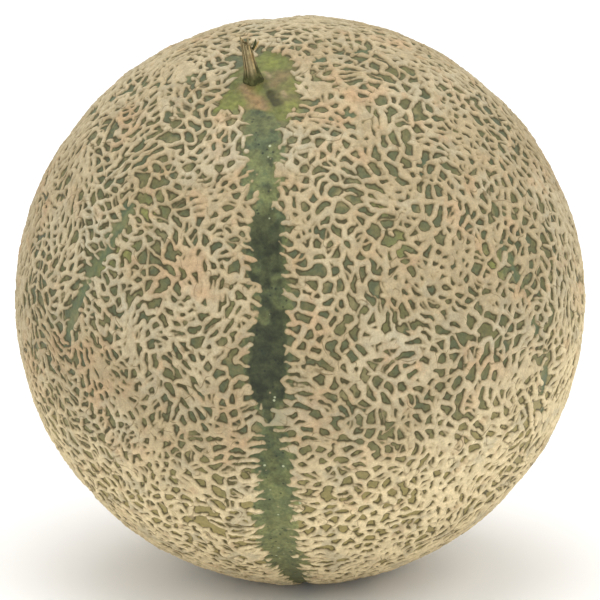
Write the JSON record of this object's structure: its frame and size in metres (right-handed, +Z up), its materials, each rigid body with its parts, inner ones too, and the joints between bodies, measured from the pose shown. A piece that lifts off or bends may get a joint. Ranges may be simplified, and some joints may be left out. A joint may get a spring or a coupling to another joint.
{
  "type": "cantaloupe melon",
  "caption": "Whole round melon with a corky raised net over a green rind, shallow sutures and a dried stem stub, lying on a small flat spot.",
  "frame": {"origin": "on the surface that the melon rests on, under the middle of its box", "axes": "+Z up, -Y towards the side with the main suture, where the stem end leans; +X to the right as seen from that side"},
  "size_m": [0.1498, 0.1498, 0.1556],
  "materials": {
    "rind": "raised corky net, dry and tan, over a smooth grey-green skin that shows in its meshes and along the sutures",
    "stem": "dry fibrous plant stalk, straw brown with a green foot"
  },
  "bodies": {
    "root": {"melon": "rind", "stem_stub": "stem"}
  },
  "joints": []
}
